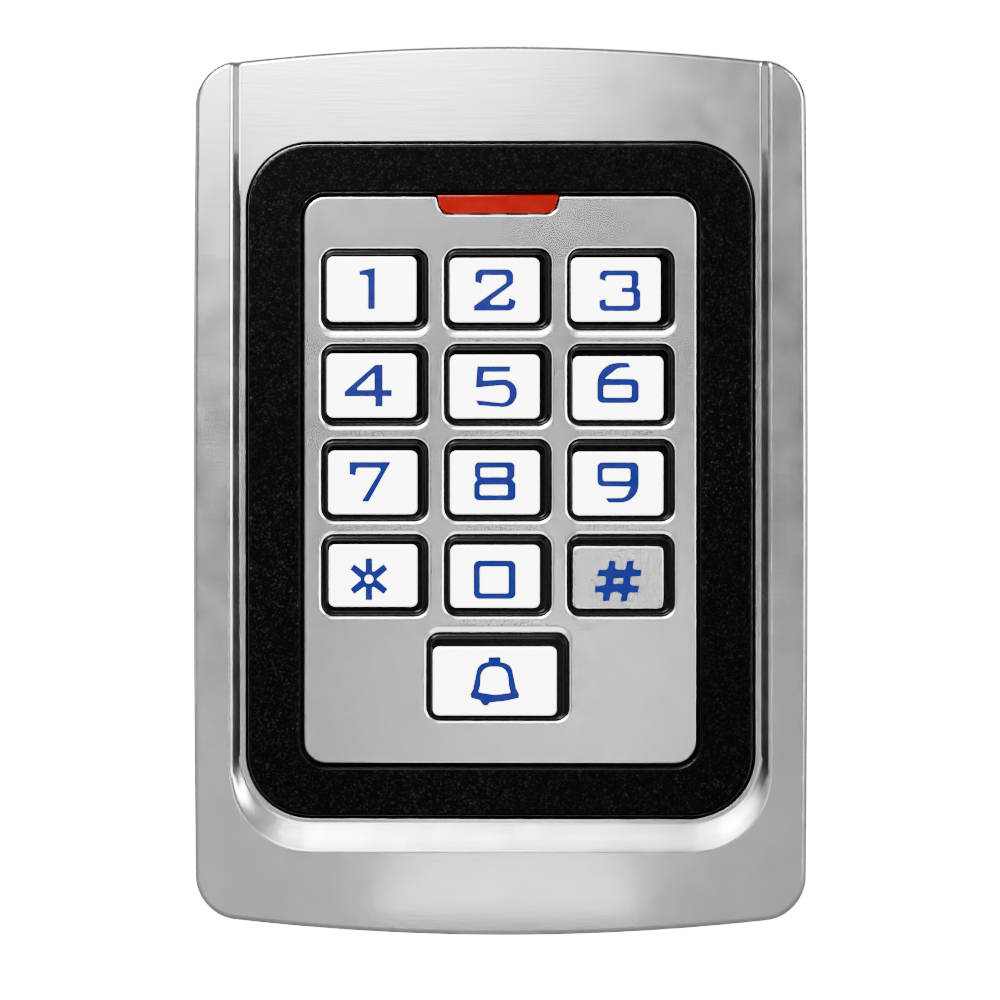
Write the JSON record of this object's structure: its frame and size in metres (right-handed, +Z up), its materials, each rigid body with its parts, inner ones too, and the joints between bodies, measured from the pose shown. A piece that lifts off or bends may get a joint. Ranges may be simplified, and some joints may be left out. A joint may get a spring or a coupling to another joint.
{
  "type": "keypad access reader",
  "caption": "Wall-mounted metal keypad and card reader: satin case with a lowered centre, black bezel, red status lens, sprung keys with inlaid legends, on a wall bracket.",
  "frame": {"origin": "on the wall plane, behind the middle of the case", "axes": "+Z up the wall, +X to the right as seen from the front, +Y into the wall; the keys face -Y"},
  "size_m": [0.083, 0.0217, 0.12],
  "materials": {
    "satin_zinc": "satin die-cast zinc, lightly brushed",
    "plate_satin": "satin, fine bead-blasted grain",
    "bright_key_metal": "polished",
    "legend_blue": "glossy enamel inlay",
    "bezel_black": "fine glitter speckle",
    "lens_red": "translucent red, glossy",
    "rubber_black": "smooth silicone",
    "cover_black": "fine moulded texture",
    "bracket_steel": "zinc-plated sheet",
    "screw_steel": "stainless",
    "board_green": "solder mask",
    "component_black": "moulded package",
    "coil_copper": "enamelled copper winding",
    "header_green": "moulded terminal block",
    "led_white": "clear-topped package",
    "clear_plastic": "clear window and sensor dome"
  },
  "bodies": {
    "housing": {"front_case": "satin_zinc", "bezel_ring": "bezel_black", "keypad_plate": "plate_satin", "status_lens": "lens_red", "key_mat": "rubber_black", "keypad_board": "board_green", "main_board": "board_green", "antenna_coil": "coil_copper", "status_led_1": "led_white", "status_led_2": "led_white", "status_led_3": "led_white", "relay": "component_black", "wire_header": "header_green", "controller_chip": "component_black", "reader_chip": "component_black", "buzzer": "component_black", "tamper_sensor": "clear_plastic", "rear_cover": "cover_black", "cover_gasket": "rubber_black", "tamper_window": "clear_plastic", "cable_grommet": "rubber_black", "wall_bracket": "bracket_steel", "cover_screw_1": "screw_steel", "keypad_screw_1": "screw_steel", "cover_screw_2": "screw_steel", "keypad_screw_2": "screw_steel", "cover_screw_3": "screw_steel", "keypad_screw_3": "screw_steel", "cover_screw_4": "screw_steel", "keypad_screw_4": "screw_steel", "board_screw_1": "screw_steel", "board_screw_2": "screw_steel", "security_screw": "screw_steel"},
    "body_key_1": {"key_1": "bright_key_metal", "legend_1": "legend_blue"},
    "body_key_2": {"key_2": "bright_key_metal", "legend_2": "legend_blue"},
    "body_key_3": {"key_3": "bright_key_metal", "legend_3": "legend_blue"},
    "body_key_4": {"key_4": "bright_key_metal", "legend_4": "legend_blue"},
    "body_key_5": {"key_5": "bright_key_metal", "legend_5": "legend_blue"},
    "body_key_6": {"key_6": "bright_key_metal", "legend_6": "legend_blue"},
    "body_key_7": {"key_7": "bright_key_metal", "legend_7": "legend_blue"},
    "body_key_8": {"key_8": "bright_key_metal", "legend_8": "legend_blue"},
    "body_key_9": {"key_9": "bright_key_metal", "legend_9": "legend_blue"},
    "body_key_star": {"key_star": "bright_key_metal", "legend_star": "legend_blue"},
    "body_key_0": {"key_0": "bright_key_metal", "legend_0": "legend_blue"},
    "body_key_hash": {"key_hash": "bright_key_metal", "legend_hash": "legend_blue"},
    "body_key_bell": {"key_bell": "bright_key_metal", "legend_bell": "legend_blue"}
  },
  "joints": [
    {"name": "key_1_press", "type": "slide", "parent": "housing", "child": "body_key_1", "axis": [0, 1, 0], "range_m": [0, 0.0008], "stiffness_N_per_m": 300, "springref_m": -0.0006},
    {"name": "key_2_press", "type": "slide", "parent": "housing", "child": "body_key_2", "axis": [0, 1, 0], "range_m": [0, 0.0008], "stiffness_N_per_m": 300, "springref_m": -0.0006},
    {"name": "key_3_press", "type": "slide", "parent": "housing", "child": "body_key_3", "axis": [0, 1, 0], "range_m": [0, 0.0008], "stiffness_N_per_m": 300, "springref_m": -0.0006},
    {"name": "key_4_press", "type": "slide", "parent": "housing", "child": "body_key_4", "axis": [0, 1, 0], "range_m": [0, 0.0008], "stiffness_N_per_m": 300, "springref_m": -0.0006},
    {"name": "key_5_press", "type": "slide", "parent": "housing", "child": "body_key_5", "axis": [0, 1, 0], "range_m": [0, 0.0008], "stiffness_N_per_m": 300, "springref_m": -0.0006},
    {"name": "key_6_press", "type": "slide", "parent": "housing", "child": "body_key_6", "axis": [0, 1, 0], "range_m": [0, 0.0008], "stiffness_N_per_m": 300, "springref_m": -0.0006},
    {"name": "key_7_press", "type": "slide", "parent": "housing", "child": "body_key_7", "axis": [0, 1, 0], "range_m": [0, 0.0008], "stiffness_N_per_m": 300, "springref_m": -0.0006},
    {"name": "key_8_press", "type": "slide", "parent": "housing", "child": "body_key_8", "axis": [0, 1, 0], "range_m": [0, 0.0008], "stiffness_N_per_m": 300, "springref_m": -0.0006},
    {"name": "key_9_press", "type": "slide", "parent": "housing", "child": "body_key_9", "axis": [0, 1, 0], "range_m": [0, 0.0008], "stiffness_N_per_m": 300, "springref_m": -0.0006},
    {"name": "key_star_press", "type": "slide", "parent": "housing", "child": "body_key_star", "axis": [0, 1, 0], "range_m": [0, 0.0008], "stiffness_N_per_m": 300, "springref_m": -0.0006},
    {"name": "key_0_press", "type": "slide", "parent": "housing", "child": "body_key_0", "axis": [0, 1, 0], "range_m": [0, 0.0008], "stiffness_N_per_m": 300, "springref_m": -0.0006},
    {"name": "key_hash_press", "type": "slide", "parent": "housing", "child": "body_key_hash", "axis": [0, 1, 0], "range_m": [0, 0.0008], "stiffness_N_per_m": 300, "springref_m": -0.0006},
    {"name": "key_bell_press", "type": "slide", "parent": "housing", "child": "body_key_bell", "axis": [0, 1, 0], "range_m": [0, 0.0008], "stiffness_N_per_m": 300, "springref_m": -0.0006}
  ]
}
